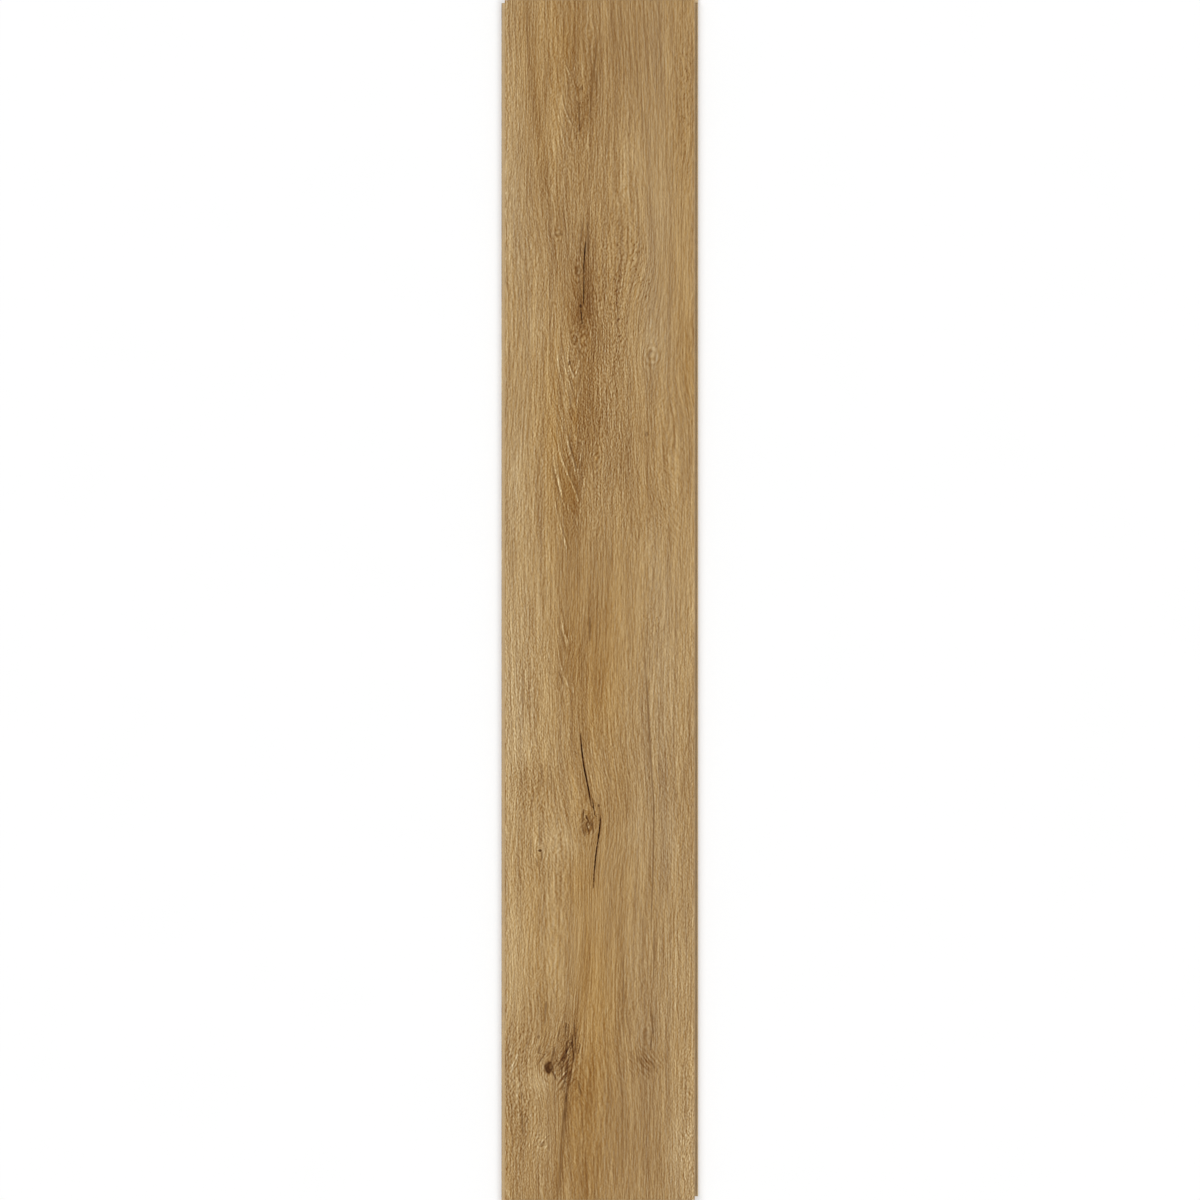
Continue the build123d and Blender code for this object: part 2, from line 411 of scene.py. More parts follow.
# Fine lines: the places of each, its half width, its shade and the painted light on its right side, in
# hundredths; that painted light is painted shadow where negative and painted highlight where positive, as
# if lit from the left
PERCENT = 0.01
VEINS = [
    # The first figure
    ([(56, 92), (57.5, 103), (60, 111), (64, 120), (69, 129)], 0.7, 20, -14),
    ([(52, 108), (54.5, 122), (57, 134), (59.5, 143), (64, 157)], 0.7, 16, -10),
    ([(58, 58), (60, 65), (63, 71), (67, 77)], 0.7, 18, -12),
    ([(71.5, 61), (70, 67), (68, 75)], 0.6, 16, 0),
    ([(47, 128), (48.5, 142), (50, 158)], 0.8, 14, 0),
    ([(83, 132), (82.5, 142), (82, 152)], 0.7, 16, 0),
    ([(92, 36), (91, 58), (88.5, 74), (86.5, 98), (85, 122)], 0.8, -17, 0),
    ([(91.5, 70), (92, 80), (91.5, 92)], 0.7, -16, 0),
    ([(73.5, 98), (74.5, 116), (75, 134)], 0.8, -24, 0),
    ([(119, 143), (119.5, 172), (119, 202)], 0.9, 12, 0),
    # Round the first crack
    ([(82.3, 220), (83.5, 235), (83, 252)], 1.1, -18, 0),
    ([(78, 220), (76.5, 238), (75, 254)], 0.8, -16, 0),
    ([(60.5, 233), (60.5, 250), (59.5, 272)], 0.7, 12, 0),
    ([(64, 241), (69, 249), (72, 258)], 0.6, 12, 0),
    ([(61, 278), (63, 286), (67, 291)], 0.8, -14, 0),
    # The second figure
    ([(58, 345), (58.5, 358), (60.5, 370), (63.5, 379), (66.5, 390), (69, 398), (71, 408)], 0.7, 22, -14),
    ([(75.8, 385), (74, 394), (72.5, 400), (71, 408)], 0.7, 26, 0),
    ([(63.5, 346), (63, 360), (64.5, 368), (67, 373), (69.7, 379)], 0.7, 26, -18),
    ([(75, 359), (73, 368), (71, 373), (69.7, 379)], 0.7, 28, 0),
    ([(60, 382), (62, 394), (64, 401), (65.5, 412)], 0.6, 16, -10),
    ([(52.5, 350), (53, 363), (55.5, 375)], 0.7, 14, -10),
    ([(57, 408), (57.5, 420), (58, 434)], 0.7, 14, -8),
    ([(62, 432), (63, 445), (65.5, 453), (68.5, 463), (70.5, 474)], 0.8, 22, -24),
    ([(52.5, 434), (54, 450), (57, 460), (64, 478), (68, 486), (71.5, 495), (75, 508)], 0.8, 26, -12),
    ([(47.5, 448), (50, 468), (53, 478), (55.5, 490), (58, 501), (61.5, 512)], 0.8, 28, -6),
    ([(46.5, 458), (48.5, 470), (51.5, 481), (54, 492), (57, 505)], 0.9, -18, 0),
    ([(62, 508), (66, 511), (70, 516), (73.5, 528)], 0.7, 14, 0),
    ([(49, 496), (51.5, 511), (54, 522), (56.5, 531), (60, 541), (63, 555)], 0.8, 20, -12),
    ([(80.5, 474), (78.5, 490), (75.5, 507)], 0.7, 22, -8),
    ([(78.5, 438), (76.5, 455), (71.5, 475)], 0.7, 18, -10),
    ([(77, 500), (75.5, 512), (73.5, 526)], 0.7, 16, 0),
    # The third figure
    ([(57, 620), (58.5, 631), (61, 637), (64.5, 645)], 0.7, 15, -6),
    ([(55.5, 628), (57.5, 637), (60.5, 645)], 0.8, -13, 0),
    ([(65.5, 632), (66.5, 638), (68.7, 643)], 0.6, 16, 0),
    ([(52, 628), (54, 636), (56, 645)], 0.7, 14, -8),
    ([(56, 602), (57, 616), (60, 629)], 0.7, 14, -8),
    ([(56.3, 664), (58, 672), (60.5, 679), (64, 688)], 0.7, 24, -8),
    ([(53, 669), (56, 677), (59.5, 686)], 0.8, -18, 0),
    ([(68, 681), (68.5, 688), (68, 695)], 0.7, 18, 0),
    ([(85, 614), (85.2, 628), (85, 643)], 0.8, -22, 0),
    # Long dark lines
    ([(139, 640), (143, 700), (146, 760), (149, 800), (149, 830), (148, 885), (145, 942)], 0.75, -24, 0),
    ([(18, 636), (18.4, 680), (18, 724)], 0.8, -14, 0),
    ([(118.5, 945), (119, 990), (119.5, 1040)], 0.8, -14, 0),
    ([(149, 930), (149.3, 960), (148.8, 990)], 0.7, -18, 0),
    # The small knot on the right
    ([(147, 1013), (147.6, 1023), (148.4, 1035)], 0.8, -28, 0),
    ([(147.6, 1031), (146.5, 1041), (146, 1053)], 0.7, -34, 0),
    ([(133, 1056), (136.5, 1063), (139, 1071)], 0.8, -16, 6),
    ([(145.5, 1057), (148.5, 1064), (150.5, 1071)], 0.8, -16, 6),
    # Round the speck
    ([(34.2, 818), (34.6, 834), (35.3, 848)], 0.7, -18, 0),
    ([(36.6, 851), (37.3, 856), (37, 861)], 0.7, -26, 0),
    ([(30, 857), (32, 862), (33.5, 868)], 0.8, -22, 0),
    ([(25.4, 838), (26.4, 848), (25.8, 858)], 0.7, -18, 0),
    # Round the second and third cracks
    ([(67, 749), (71, 752), (74.5, 757)], 0.5, -26, 0),
    ([(65.8, 788), (66.5, 795), (68, 801)], 0.6, -24, 0),
    ([(36, 762), (37, 775), (37.5, 788)], 0.8, -18, 0),
    ([(79, 807), (78.5, 815), (77.6, 823)], 0.8, -36, 14),
    ([(80, 813), (83, 820), (86.5, 827)], 1.0, -34, 0),
    ([(81, 821), (82.5, 827), (84.5, 834)], 0.8, -32, 14),
    ([(82, 823), (80.5, 830), (81.5, 837)], 0.8, -28, 0),
    ([(84.5, 812), (86.5, 817), (89, 821)], 0.7, 14, -18),
    ([(87, 820), (88, 827), (88.5, 834)], 0.7, -28, 10),
    ([(76, 823), (78, 830), (80.5, 838)], 0.8, -22, 12),
    # Round the great knot
    ([(50, 1045), (49, 1053), (46, 1063)], 1.3, -30, 0),
    ([(46.5, 1069), (49, 1074), (52, 1081)], 0.9, -36, 10),
    ([(67, 1042), (61.5, 1052.5), (57, 1059), (52.5, 1067)], 0.8, -46, 12),
    ([(62.8, 1038), (61.8, 1047), (60.5, 1056)], 0.9, -34, 10),
    ([(67.5, 1034), (67.7, 1045), (68.6, 1053), (69, 1064)], 0.8, -50, 0),
    ([(68.3, 1056), (67, 1068), (65.5, 1080)], 0.7, -20, 12),
    ([(66, 1070), (64.8, 1081), (62.6, 1093)], 1.1, -26, 0),
    ([(70.5, 1034), (70.8, 1044), (70, 1054)], 0.7, -36, 0),
    ([(62, 1020), (61, 1029), (60, 1039)], 0.7, -36, 12),
    ([(55.5, 1025), (54, 1033), (52, 1043)], 0.7, -28, 12),
    ([(64.8, 1024), (63.8, 1033), (63.2, 1042)], 0.6, -22, 10),
    ([(69.4, 1022), (69.8, 1030), (70.3, 1038)], 0.8, -34, 0),
    ([(72.8, 1026), (72, 1033), (72.3, 1040)], 0.7, -24, 0),
    ([(75.8, 1042), (74.6, 1049), (73.3, 1056)], 0.7, -26, 10),
    ([(62, 1054), (59, 1063), (57, 1072)], 0.6, -32, 16),
    ([(65.5, 1054), (62.5, 1064), (60, 1075)], 0.6, -32, 16),
    ([(55.5, 1064), (57.5, 1071), (56.5, 1079)], 0.8, -34, 14),
    ([(64.5, 1064), (61.5, 1074), (59.5, 1085)], 0.6, -32, 16),
    ([(61, 1075), (59, 1083), (57, 1092)], 0.7, -26, 12),
    ([(41, 1053), (36, 1060), (31, 1067)], 0.8, -24, 12),
    ([(36, 1044), (34, 1051), (33, 1056)], 1.2, -26, 12),
    ([(58, 1012), (56, 1022), (53, 1030)], 0.8, 14, -10),
    ([(41.5, 1000), (41, 1012), (39.5, 1026)], 1.1, -20, 0),
    ([(13.5, 1052), (10.5, 1059), (6.5, 1069), (4.5, 1077)], 0.7, 24, -10),
    ([(8.5, 1042), (6.5, 1049), (4, 1058)], 0.7, 20, -10),
    ([(73.5, 1078), (74.5, 1086), (77, 1096)], 0.8, -24, 0),
    ([(62.2, 1087), (61.6, 1095), (61.2, 1103)], 0.7, -32, 0),
    ([(61.8, 1092), (61, 1106), (60, 1122)], 1.6, -20, 0),
    ([(60, 1106), (58.8, 1128), (58, 1152)], 2.0, -14, 0),
    ([(58.5, 1118), (57, 1140), (55.5, 1162)], 0.7, -11, 0),
    ([(57.5, 1138), (56, 1165), (53.5, 1204)], 2.0, -11, 0),
    ([(17.5, 1090), (17, 1096), (17, 1102)], 0.8, -24, 0),
    ([(17, 1108), (17.5, 1124), (18, 1138)], 0.8, -24, 0),
    ([(25.5, 1112), (22, 1120), (19.5, 1128)], 0.7, -20, 12),
    ([(13, 1078), (14, 1086), (15, 1094)], 0.7, 16, -8),
    ([(37.5, 1126), (35, 1134), (30, 1141)], 0.7, 20, -12),
    ([(43.5, 1134), (38, 1141), (32, 1147)], 0.8, 18, -14),
    ([(40, 1141), (42, 1146), (42.5, 1153)], 0.8, 14, -8),
]

# Knots: (across, down, half width, half length, shade, tone of the rings round it)
KNOTS = [
    (77, 88, 1.4, 2.4, -0.2, 2),
    (53, 233, 3.5, 4, -0.06, 18),
    (55, 234.5, 3.5, 1.8, -0.14, 0),
    (73.3, 271, 2.6, 5.5, -0.1, 26),
    (75.7, 306, 1.4, 2, -0.5, 4),
    (69.5, 340, 2.6, 4.5, -0.06, 26),
    (79, 340, 3.2, 6.5, 0.06, 26),
    (147, 355, 4, 5, -0.05, 22),
    (64.6, 363, 1.4, 2.4, -0.3, 6),
    (142, 434, 2, 3, -0.2, 4),
    (71, 438, 1.6, 3, 0.12, 4),
    (91.6, 458.5, 1.5, 2.2, 0.2, 10),
    (94, 805.6, 1.4, 1.6, -0.35, 3),
    (83, 822.6, 6.5, 11, -0.07, 10),
    (35.3, 850.6, 2.0, 1.5, -0.55, 5),
    (142, 1035, 3.5, 5, -0.06, 8),
    (33.8, 1037, 1.4, 2.2, -0.22, 2),
    (44.3, 1067.6, 4.8, 6.6, -0.58, 16),
    (45.9, 1066.2, 2.2, 3.2, 0.2, 0),
    (37, 1144, 3.2, 3, -0.16, 22),
]

# Lines and knots that lie close together are in different sets, so that each point has one of a set
LINE_SETS = {
    "crack": [(places, half_width, CRACK_SHADE, 0) for places, half_width in CRACKS],
    "first_vein": VEINS[::2],
    "second_vein": VEINS[1::2],
}
LINE_PARTS = ("_offset", "_shade", "_painted_side_light")
KNOT_SETS = {"first_knot": KNOTS[::2], "second_knot": KNOTS[1::2]}
KNOT_PARTS = ("_right", "_below", "_shade", "_ring_tone")
FAR_OFF = 30.0

# A line's course is the mean of its places here and a little further up and down: (shift, weight)
LINE_SMOOTHING = ((0.0, 0.5), (-3.0, 0.25), (3.0, 0.25))

# The materials' middle colours, in a screen's levels
LEVELS = 255
OAK = (167, 134, 88)
FIBREBOARD = (204, 178, 138)
PAPER = (203, 186, 154)

# The levels that a step of tone or warmth adds
TONE_STEP = (0.52, 0.60, 0.61)
WARMTH_STEP = (0.66, 0.17, -0.73)

# The share of the colour that a shade of 1 adds, and the darkest that oak gets, as a share of white
SHADE_STEP = (0.84, 1.0, 1.15)
DARKEST = (0.12, 0.08, 0.05)

# The screen's gamma, and white with its alpha
SCREEN_GAMMA = 2.2
WHITE = (1, 1, 1, 1)

# Layers of the decor's grain: (cell across, cell along, a depth of its own in the noise)
SLIDE = (4.0, 500.0, 3.1)
DRIFT = (8.0, 60.0, 5.7)
BROAD = (6.0, 160.0, 11.3)
MIDDLING = (4.0, 45.0, 23.0)
NARROW = (2.2, 110.0, 37.0)
SHORT = (1.7, 20.0, 45.0)
FINE = (1.65, 11.0, 51.0)
COARSE = (3.2, 6.0, 59.0)
SPECKS = (1.6, 2.5, 67.0)
TINT = (1.7, 7.0, 71.0)
RAGGED = (1.6, 14.0, 83.1)
SLASHES = (2.0, 8.0, 91.0)
BACKSLASHES = (2.0, 8.0, 97.0)

# Layers that follow the rings, with the cell across as a share of a ring
RING_NARROW = (1 / 3, 60.0, 41.0)
RING_SHORT = (1 / 4, 14.0, 57.0)

# Layers of short marks: (cell across, cell along, share of cells with a mark, the mark's size in cells)
DARK_PORES = (1.5, 11.0, 0.5, 0.42)
PALE_FLECKS = (1.7, 15.0, 0.3, 0.4)
PITS = (2.2, 4.5, 0.6, 0.42)
FAINTEST_DASH = 0.4
DASH_CORE = 0.35

# How far across two like noises lie apart, in their cells, where one less the other makes streaks
STREAK_SHIFT = 0.75

# How far the layers move what they bend: fibres along, rings, pits, flecks and the painted highlights on
# the pits' rims
SLIDE_REACH = 120
DRIFT_REACH = 16
RAGGED_REACH = 0.22
WAVY_REACH = 1.4
FLECK_SHIFT = 68.0
PIT_HIGHLIGHT_SHIFT = 1.1

# The cosine and sine of the angle at which the short marks cross the fibres
CURL_COS = 0.8
CURL_SIN = 0.6

# What the layers add to the tone
BROAD_TONE = 40
MIDDLING_TONE = 45
NARROW_TONE = 24
CALM_TONE = 22
LONG_STROKE_TONE = 28
STROKE_TONE = 31
COARSE_TONE = 26
SPECK_TONE = 86
FLECK_TONE = 8
PORE_TONE = 20
PIT_TONE = 60
# What the painted highlight on an open pit's right rim adds
PIT_HIGHLIGHT_TONE = 26
CURL_TONE = 55
PALE_LINE_TONE = 28
BROWN_BAND_TONE = 26
FIGURE_TONE = 6
# What a pale line adds, and also what the painted highlight beside a line adds
PALE_TONE = 240

# What the layers add to the warmth
BROAD_WARMTH = 9
MIDDLING_WARMTH = 6
BROWN_BAND_WARMTH = 2
TINT_WARMTH = 13

# The spans over which the decor's marks grow from nothing to full strength
FOLLOWING = (0.35, 0.9)
PALE_LINE = (0.16, 0.02)
BROWN_BAND = (0.45, 0.98)
CALM = (0.7, 0.0)
STROKE = (-0.16, 0.16)
LONG_STROKE = (-0.2, 0.2)
LINE_EDGE = (1.6, 0.4)
KNOT_EDGE = (1.1, 0.65)
KNOT_RINGS = (3.6, 1.0)

# How much of the grit the figure loses, and how the specks gain where the grain is lively
FIGURE_CALM = 0.3
SPECK_GAIN = 3
FEWEST_SPECKS = 0.35

# How ragged the lines and knots are, how far aside the painted light on a line's right side is, and how
# close a knot's rings are
LINE_BREAKS = 1.2
LINE_SWAY = 0.4
LINE_RAG = 0.5
PAINTED_LIGHT_ASIDE = 2.4
KNOT_RAG = 0.16
KNOT_RING_PACE = 5.2

# The decor's roughness, bump heights and specular level
DECOR_ROUGHNESS = 0.50
NARROW_GLOSS = 0.08
PORE_ROUGHNESS = 0.12
STREAK_HEIGHT = 0.28
PORE_DEPTH = 0.08
DECOR_SPECULAR = 0.2

# The milled edges: fibres and clouds to a millimetre, along and up, and their tones
FIBRES_ALONG = 2.2
FIBRES_UP = 5.0
FIBRE_DETAIL = 3.0
FIBRE_ROUGHNESS = 0.6
CLOUDS_ALONG = 0.12
CLOUDS_UP = 0.3
FIBRE_TONE = 46
CLOUD_TONE = 26
CLOUD_WARMTH = 8

# The board's dense crust by its distance from the middle, and the decor's and the backing's edge by height
DENSE_CRUST = (1.5, 3.6)
CRUST_TONE = -9
DECOR_EDGE = (7.55, 7.75)
DECOR_EDGE_TONE = -22
BACKING_EDGE = (0.3, 0.15)
BACKING_EDGE_TONE = 14
EDGE_ROUGHNESS = 0.78
EDGE_ROUGHNESS_STEP = 0.2
EDGE_HEIGHT = 0.08
EDGE_SPECULAR = 0.2

# The backing paper: layers as in the decor, and what they add
PAPER_FIBRES = (1 / 1.4, 1 / 1.1, 5.0)
PAPER_CLOUDS = (30.0, 45.0, 9.0)
PAPER_CLOUD_DETAIL = 2.0
PAPER_ROLLERS = (4.0, 300.0, 14.0)
PAPER_FIBRE_TONE = 20
PAPER_CLOUD_TONE = 18
PAPER_ROLLER_TONE = 10
PAPER_CLOUD_WARMTH = 6
PAPER_ROUGHNESS = 0.62
PAPER_ROUGHNESS_STEP = 0.15
PAPER_HEIGHT = 0.02
PAPER_SPECULAR = 0.25

# Relief depths, how far from its middle a knot's hollow reaches, and how far from the edges the relief dies
FACE_SINK = 0.08
GRAIN_DEPTH = 0.02
VEIN_DEPTH = 0.25
RING_DEPTH = 0.05
KNOT_DEPTH = 0.35
KNOT_SPREAD = 0.8
EDGE_RUN = 2.4

# The view straight down on the face, which fills the frame's height
LENS = 300.0
SENSOR = 36.0
FRAME_HEIGHT = 1200.08
FRAME_SHIFT = 0.27
FARTHEST_SEEN = 1000000.0

# The levels of the lamps and the surrounding, and the lamps' tilt, turn left of the far end and spread
KEY_LEVEL = 0.23
FILL_LEVEL = 0.17
WORLD_LEVEL = 0.58
LIGHT_TILT = 45.0
KEY_TURN = 60.0
FILL_TURN = KEY_TURN + 180
LIGHT_SPREAD = 30.0

# The floor: its grey and how that varies, the glow that makes it white to the eye, its size and its gap
FLOOR_GREY = 0.86
FLOOR_GREY_STEP = 0.01
FLOOR_MOTTLE = (90.0, 90.0, 2.0)
FLOOR_DETAIL = 2.0
FLOOR_GLOW = 0.16
FLOOR_SIZE = 60000.0
FLOOR_GAP = 0.02

# The number of random values along each side of the table behind the wander
LATTICE = 256


def smooth_step(x):
    """Eases a share from 0 to 1."""
    return x * x * (3 - 2 * x)


def lattice_noise(x, y, seed):
    """Smooth random values from -1 to 1 that change over a step of 1 along x and y."""
    table = np.random.default_rng(seed).uniform(-1.0, 1.0, (LATTICE, LATTICE))
    column = np.floor(x).astype(int)
    row = np.floor(y).astype(int)
    to_right = smooth_step(x - column)
    to_below = smooth_step(y - row)
    left = column % LATTICE
    right = (column + 1) % LATTICE
    above = row % LATTICE
    below = (row + 1) % LATTICE
    upper = table[left, above] * (1 - to_right) + table[right, above] * to_right
    lower = table[left, below] * (1 - to_right) + table[right, below] * to_right
    return upper * (1 - to_below) + lower * to_below


def wander(across, down, layer, seed):
    """A smooth random shift over the layer's steps."""
    reach, step_across, step_along = layer
    return reach * lattice_noise(across / step_across, down / step_along, seed)


def bell(distance, spread):
    """A bell curve, 1 at the middle."""
    return np.exp(-0.5 * (distance / spread) ** 2)


def fibre_across(across, down):
    """The place across the plank that each point's fibre would have if all fibres were straight."""
    aside = wander(across, down, FIBRE_WANDER, 1)
    for middle, level, width, length, lean in LEANS:
        beyond = down - level
        turned = lean * length * np.tanh(beyond / length) * bell(beyond, LEAN_REACH * length)
        aside += turned * bell(across - middle, width)
    for middle, level, width, length, push in PARTINGS:
        side = (across - middle) / width
        aside += push * side * np.exp(0.5 - 0.5 * side ** 2) * bell(down - level, length)
    return across - aside


def ring_count(across, down):
    """How many growth rings lie between each point and the far end, counted along the rings' tips."""
    tips_across = [tip[0] for tip in RING_TIPS]
    tips_down = [tip[1] for tip in RING_TIPS]
    aside = wander(across, down, RING_WANDER, 2) + wander(across, down, RING_TREMBLE, 3)
    middle = np.interp(down + RING_LEAD, tips_down, tips_across)
    side = across + aside - middle
    side = np.where(side > 0, side * RING_STEEPER_RIGHT, side)
    limb = np.hypot(side, RING_TIP_RADIUS) - RING_TIP_RADIUS
    along = down + RING_SLOPE * limb + limb ** 2 / (2 * RING_CURVE)
    spread = np.interp(along, tips_down, np.arange(len(tips_down), dtype=float))
    past_last = np.maximum(along - tips_down[-1], 0) / LAST_RINGS_APART
    return spread + past_last


def patches(across, down, rows):
    """The sum of soft patches: rows of (across, down, half width, half length, strength)."""
    total = np.zeros_like(across)
    for middle, level, width, length, strength in rows:
        total += strength * bell(across - middle, width) * bell(down - level, length)
    return total


def stains(across, down):
    """Tone and warmth of the broad stains and pale patches."""
    tone = np.zeros_like(across)
    warmth = np.zeros_like(across)
    ragged = wander(across, down, STAIN_WANDER, 4)
    for middle, level, width, length, lean, tone_step, warmth_step in STAINS:
        centre = middle + lean * (down - level)
        weight = bell(across + ragged - centre, width) * bell(down - level, length)
        tone += tone_step * weight
        warmth += warmth_step * weight
    return tone, warmth


def line_offset(across, down, places):
    """How far right of a line of places each point is, and the line's taper, 1 at its middle."""
    line_across = [place[0] for place in places]
    line_down = [place[1] for place in places]
    course = np.zeros_like(across)
    for shift, weight in LINE_SMOOTHING:
        course += weight * np.interp(down + shift, line_down, line_across)
    share = np.clip((down - line_down[0]) / (line_down[-1] - line_down[0]), 0, 1)
    return across - course, np.sqrt(4 * share * (1 - share))


def nearest_line(across, down, rows):
    """Of the line nearest to each point: the half widths to it, its shade and the painted light beside it
    on the right, painted shadow where negative and painted highlight where positive.
    """
    nearest = np.full_like(across, FAR_OFF)
    shade = np.zeros_like(across)
    painted_side_light = np.zeros_like(across)
    for places, half_width, step, painted_side_step in rows:
        offset, taper = line_offset(across, down, places)
        offset = offset / half_width
        near = (taper > 0) & (np.abs(offset) < np.abs(nearest))
        nearest = np.where(near, offset, nearest)
        shade = np.where(near, PERCENT * step * smooth_step(taper), shade)
        painted_side_light = np.where(near, PERCENT * painted_side_step * smooth_step(taper), painted_side_light)
    return nearest, shade, painted_side_light


def nearest_knot(across, down, rows):
    """Of the knot nearest to each point: the place relative to it, its shade and its rings' tone."""
    right = np.full_like(across, FAR_OFF)
    below = np.full_like(across, FAR_OFF)
    shade = np.zeros_like(across)
    ring_tone = np.zeros_like(across)
    for middle, level, width, length, step, ring_step in rows:
        to_right = (across - middle) / width
        to_below = (down - level) / length
        near = np.hypot(to_right, to_below) < np.hypot(right, below)
        right = np.where(near, to_right, right)
        below = np.where(near, to_below, below)
        shade = np.where(near, step, shade)
        ring_tone = np.where(near, ring_step, ring_tone)
    return right, below, shade, ring_tone


def relief(across, down, fibre, rings, ring_strength):
    """How far each point of the face lies below its highest one."""
    grain = wander(fibre, down, LONG_GRAIN, 5) + wander(fibre, down, SHORT_GRAIN, 6)
    depth = FACE_SINK - GRAIN_DEPTH * grain
    depth += RING_DEPTH * ring_strength * smooth_step(rings % 1.0)
    for places, half_width in CRACKS:
        offset, taper = line_offset(across, down, places)
        depth += CRACK_DEPTH * bell(offset, half_width) * taper
    for places, half_width, shade, _ in VEINS:
        offset, taper = line_offset(across, down, places)
        depth -= VEIN_DEPTH * PERCENT * shade * bell(offset, half_width) * taper
    for middle, level, width, length, shade, _ in KNOTS:
        radius = np.hypot((across - middle) / width, (down - level) / length)
        depth += KNOT_DEPTH * max(-shade, 0) * bell(radius, KNOT_SPREAD)
    return np.maximum(depth, 0)


def spaced(start, end, step):
    """Evenly spaced stations from start up to, but not including, end."""
    return np.linspace(start, end, round((end - start) / step), endpoint=False)


def face_stations():
    """Where the columns and rows of the face's mesh are, from the left side and from the far end."""
    columns = np.concatenate([
        spaced(ARRIS, FINE_FROM, COARSE_COLUMN),
        spaced(FINE_FROM, FINE_TO, FINE_COLUMN),
        spaced(FINE_TO, FACE_WIDTH - ARRIS, COARSE_COLUMN),
        [FACE_WIDTH - ARRIS],
    ])
    rows = np.append(spaced(ARRIS, FACE_LENGTH - ARRIS, ROW), FACE_LENGTH - ARRIS)
    return columns, rows


def split_edge(edge, axis, stations):
    """Splits a straight edge at each station along an axis, and returns its vertices in that order."""
    ends = sorted(edge.verts, key=lambda vert: vert.co[axis])
    if stations[0] > stations[-1]:
        ends.reverse()
    line = [ends[0]]
    for station in stations[1:-1]:
        last = line[-1]
        share = (station - last.co[axis]) / (ends[1].co[axis] - last.co[axis])
        _, vert = bmesh.utils.edge_split(edge, last, share)
        edge = next(piece for piece in vert.link_edges if piece.other_vert(vert) is ends[1])
        line.append(vert)
    return line + [ends[1]]


def board_mesh(node):
    """The plank's mesh with its face divided into columns and rows, welded to the milled edges."""
    board = bmesh.new()
    board.from_mesh(node.data)
    bmesh.ops.remove_doubles(board, verts=board.verts, dist=WELD * MM)
    bmesh.ops.dissolve_limit(
        board, angle_limit=math.radians(FLAT_TURN), verts=board.verts, edges=board.edges
    )
    face = max(board.faces, key=lambda one: one.calc_center_median().z + one.normal.z)
    columns, rows = face_stations()
    lefts = (columns - FACE_WIDTH / 2) * MM
    tops = (FACE_LENGTH / 2 - rows) * MM
    sides = {}
    for edge in list(face.edges):
        middle = (edge.verts[0].co + edge.verts[1].co) / 2
        if abs(edge.verts[0].co.x - edge.verts[1].co.x) > abs(edge.verts[0].co.y - edge.verts[1].co.y):
            sides["far" if middle.y > 0 else "near"] = split_edge(edge, 0, lefts)
        else:
            sides["left" if middle.x < 0 else "right"] = split_edge(edge, 1, tops)
    bmesh.ops.delete(board, geom=[face], context="FACES_ONLY")
    top = THICKNESS * MM
    grid = [sides["far"]]
    for row in range(1, len(rows) - 1):
        inner = [board.verts.new((x, tops[row], top)) for x in lefts[1:-1]]
        grid.append([sides["left"][row]] + inner + [sides["right"][row]])
    grid.append(sides["near"])
    for upper, lower in zip(grid, grid[1:]):
        for column in range(len(columns) - 1):
            quad = board.faces.new((upper[column], lower[column], lower[column + 1], upper[column + 1]))
            quad.smooth = True
    board.normal_update()
    mesh = bpy.data.meshes.new("plank_board")
    board.to_mesh(mesh)
    board.free()
    return mesh


def set_attribute(mesh, name, values):
    """Stores one number for each vertex."""
    attribute = mesh.attributes.new(name, "FLOAT", "POINT")
    attribute.data.foreach_set("value", values.astype(np.float32))


def dress_face(mesh):
    """Works out the grain at each vertex, stores it for the material and presses it into the face."""
    places = np.zeros(len(mesh.vertices) * 3)
    mesh.vertices.foreach_get("co", places)
    places = places.reshape(-1, 3)
    across = places[:, 0] / MM + FACE_WIDTH / 2
    down = FACE_LENGTH / 2 - places[:, 1] / MM
    fibre = fibre_across(across, down)
    rings = ring_count(across, down)
    ring_strength = FIGURE_ELSEWHERE + patches(across, down, FIGURES)
    tone, warmth = stains(across, down)
    grain = {
        "fibre": fibre,
        "rings": rings,
        "ring_strength": ring_strength,
        "tone": tone,
        "warmth": warmth,
        "open_pores": patches(across, down, PORE_PATCHES),
        "lively": 1 + patches(across, down, LIVELY),
        "curl": patches(across, down, CURLS),
    }
    for name, values in grain.items():
        set_attribute(mesh, name, values)
    for name, rows in LINE_SETS.items():
        for part, values in zip(LINE_PARTS, nearest_line(across, down, rows)):
            set_attribute(mesh, name + part, values)
    for name, rows in KNOT_SETS.items():
        for part, values in zip(KNOT_PARTS, nearest_knot(across, down, rows)):
            set_attribute(mesh, name + part, values)
    on_face = places[:, 2] > (THICKNESS - WELD) * MM
    from_edge = np.minimum.reduce([across, FACE_WIDTH - across, down, FACE_LENGTH - down]) - ARRIS
    inside = np.clip(from_edge / EDGE_RUN, 0, 1)
    depth = relief(across, down, fibre, rings, ring_strength)
    places[:, 2] -= np.where(on_face, depth * inside, 0) * MM
    mesh.vertices.foreach_set("co", places.ravel())
    mesh.update()


class Wire:
    """A shader node's output. Arithmetic with it adds Math nodes."""

    def __init__(self, graph, socket):
        self.graph = graph
        self.socket = socket

    def __add__(self, other):
        return self.graph.math("ADD", self, other)

    def __sub__(self, other):
        return self.graph.math("SUBTRACT", self, other)

    def __rsub__(self, other):
        return self.graph.math("SUBTRACT", other, self)

    def __mul__(self, other):
        return self.graph.math("MULTIPLY", self, other)

    def __truediv__(self, other):
        return self.graph.math("DIVIDE", self, other)

    def __abs__(self):
        return self.graph.math("ABSOLUTE", self)

    def __mod__(self, other):
        return self.graph.math("FLOORED_MODULO", self, other)

    __radd__ = __add__
    __rmul__ = __mul__


